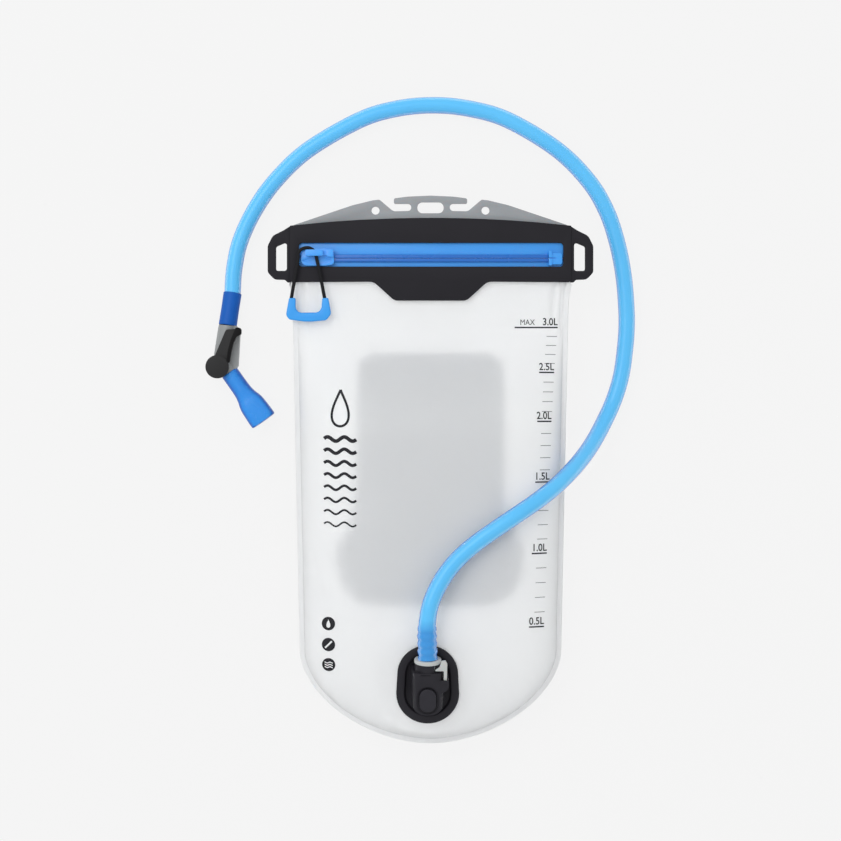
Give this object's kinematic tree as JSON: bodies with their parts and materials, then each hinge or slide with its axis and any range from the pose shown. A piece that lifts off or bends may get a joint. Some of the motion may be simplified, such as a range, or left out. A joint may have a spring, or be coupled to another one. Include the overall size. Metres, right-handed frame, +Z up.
{
  "type": "hydration bladder",
  "caption": "Soft reservoir bag with a zip mouth under a rigid hanger, a quick-connect drinking port, and a hose with a shut-off and bite valve.",
  "frame": {"origin": "on the surface that the bag lies on, under the middle of the bag and hanger, measured without the hose", "axes": "+Z up through the front film, +Y along the bag towards the hanger, +X to the right seen from the front"},
  "size_m": [0.312, 0.4681, 0.0761],
  "materials": {
    "film": "frosted translucent urethane film",
    "back_panel": "grey film panel",
    "band": "moulded matte elastomer",
    "hanger": "frosted moulded plate",
    "zip_blue": "satin urethane tape and rails",
    "slider_blue": "translucent moulded blue",
    "cord_black": "round braided cord",
    "toggle_blue": "moulded soft blue",
    "port_black": "fine-textured moulded black",
    "fitting_grey": "moulded light grey acetal",
    "spring_steel": "drawn wire",
    "seal_black": "moulded nitrile",
    "hose_blue": "clear blue extruded urethane tube",
    "cuff_blue": "opaque soft blue sleeve",
    "valve_grey": "moulded mid grey",
    "lever_black": "moulded black",
    "bite_blue": "translucent silicone"
  },
  "bodies": {
    "reservoir": {"front_film": "film", "rear_film": "film", "back_panel": "back_panel", "zip_band": "band", "left_wing": "band", "right_wing": "band", "hanger": "hanger", "zip_tape_upper": "zip_blue", "zip_tape_lower": "zip_blue", "zip_rail_upper": "zip_blue", "zip_rail_lower": "zip_blue", "zip_end_dock": "zip_blue", "zip_start_stop": "zip_blue", "port_flange": "port_black", "port_housing": "port_black", "button_spring": "spring_steel", "latch_pin": "port_black", "hose_plug": "fitting_grey", "port_o_ring": "seal_black", "port_poppet": "fitting_grey", "poppet_spring": "spring_steel", "hose": "hose_blue", "valve_cuff": "cuff_blue", "valve_body": "valve_grey", "bite_valve": "bite_blue"},
    "slider": {"slider_body": "slider_blue", "slider_bridge": "slider_blue", "pull_cord_loop": "cord_black"},
    "pull": {"pull_cord_legs": "cord_black", "pull_toggle": "toggle_blue"},
    "button": {"port_button": "port_black"},
    "latch": {"port_latch": "fitting_grey"},
    "lever": {"valve_lever": "lever_black", "valve_rotor": "fitting_grey", "rotor_o_ring": "seal_black"}
  },
  "joints": [
    {"name": "slider_slide", "type": "slide", "parent": "reservoir", "child": "slider", "axis": [1, 0, 0], "range_m": [0, 0.15]},
    {"name": "pull_swing", "type": "hinge", "parent": "slider", "child": "pull", "pos_m": [-0.0885, 0.1504, 0.0337], "axis": [-1, 0, 0], "range_deg": [0, 100]},
    {"name": "button_press", "type": "slide", "parent": "reservoir", "child": "button", "axis": [0, 0.2079, -0.9781], "range_m": [0, 0.0016], "stiffness_N_per_m": 900, "springref_m": -0.0008, "deforming": ["button_spring"]},
    {"name": "latch_swing", "type": "hinge", "parent": "reservoir", "child": "latch", "pos_m": [0.0101, -0.14853, 0.06971], "axis": [0, 0.2079, -0.9781], "range_deg": [0, 12]},
    {"name": "lever_turn", "type": "hinge", "parent": "reservoir", "child": "lever", "pos_m": [-0.1544, 0.074, 0.0164], "axis": [0, 0, 1], "range_deg": [0, 90]}
  ],
  "couplings": [
    {"joint": "latch_swing", "follows": "button_press", "rad_per_m": 130}
  ]
}
